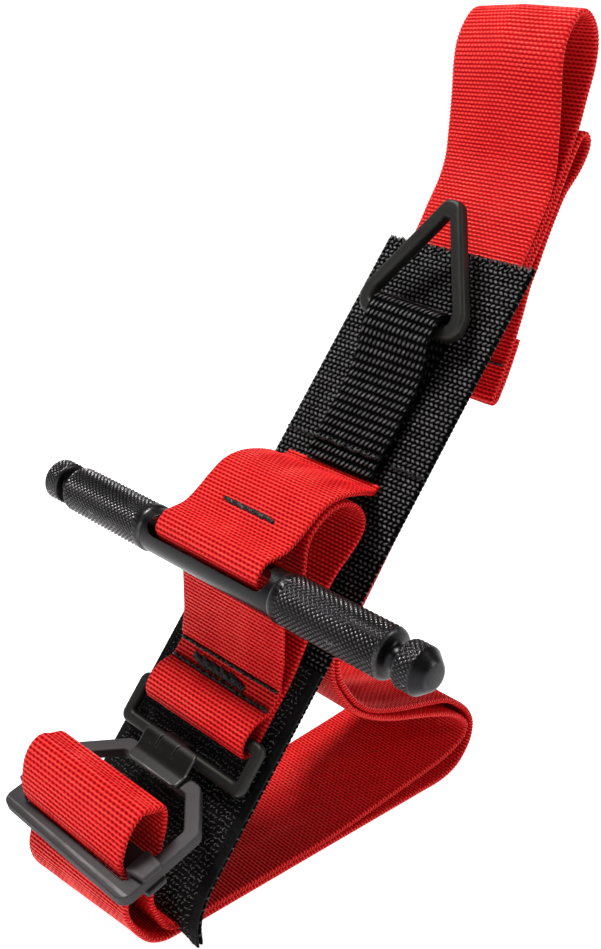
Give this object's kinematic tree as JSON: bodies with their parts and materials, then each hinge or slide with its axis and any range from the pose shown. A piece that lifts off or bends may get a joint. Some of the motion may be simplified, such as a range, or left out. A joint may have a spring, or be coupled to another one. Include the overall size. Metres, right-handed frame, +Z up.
{
  "type": "windlass tourniquet",
  "caption": "Wide strap tourniquet with a knurled windlass in a webbing band, a triangular locking ring, a hook-on buckle and a red strap with a pull loop.",
  "frame": {"origin": "on the ground under the middle of the strap's flat lower run, which the tourniquet stands on", "axes": "+Z up, +X across the webbing along the windlass, +Y away from the buckle and under the leaning backing"},
  "size_m": [0.1396, 0.1558, 0.2197],
  "materials": {
    "red_webbing": "matte ribbed weave",
    "black_webbing": "coarse weave with a slight sheen",
    "loop_pile": "matte napped loops",
    "gunmetal": "dark anodised, knurled",
    "ring_black": "black, semi-matte",
    "steel_grey": "satin grey, worn edges",
    "black_thread": "twisted thread"
  },
  "bodies": {
    "root": {"backing_webbing": "black_webbing", "loop_panel": "loop_pile", "strap_top_loop": "red_webbing", "strap_inner_run": "red_webbing", "strap_outer_run": "red_webbing", "strap_tail": "red_webbing", "windlass_band": "red_webbing", "ring_holder": "black_webbing", "flap_tack": "black_thread", "loop_stitch_lower": "black_thread", "loop_stitch_upper": "black_thread", "loop_tack": "black_thread", "holder_stitch": "black_thread", "hem_stitch": "black_thread", "backing_stitch_left": "black_thread", "backing_stitch_right": "black_thread"},
    "windlass": {"windlass_bar": "gunmetal"},
    "lock_ring": {"tri_ring": "ring_black"},
    "link": {"link_ring": "ring_black"},
    "buckle": {"buckle_frame": "steel_grey", "hook_plate": "steel_grey", "strap_buckle_turn": "red_webbing"},
    "slider": {"slider_bar": "steel_grey"}
  },
  "joints": [
    {"name": "windlass_turn", "type": "hinge", "parent": "root", "child": "windlass", "pos_m": [0, -0.02578, 0.088], "axis": [0, -0.6845, 0.729], "continuous": true, "deforming": ["windlass_band", "flap_tack"]},
    {"name": "lock_ring_swing", "type": "hinge", "parent": "root", "child": "lock_ring", "pos_m": [-0.0008, 0.03852, 0.13989], "axis": [0.9986, -0.0306, -0.0424], "range_deg": [0, 130]},
    {"name": "link_lift", "type": "hinge", "parent": "root", "child": "link", "pos_m": [0, -0.02913, 0.04627], "axis": [-1, 0, 0], "range_deg": [0, 20]},
    {"name": "buckle_swing", "type": "hinge", "parent": "link", "child": "buckle", "pos_m": [0, -0.0355, 0.03743], "axis": [-1, 0, 0], "range_deg": [0, 25]},
    {"name": "slider_slide", "type": "slide", "parent": "buckle", "child": "slider", "axis": [0, 0.9521, 0.3057], "range_m": [0, 0.0018]}
  ]
}
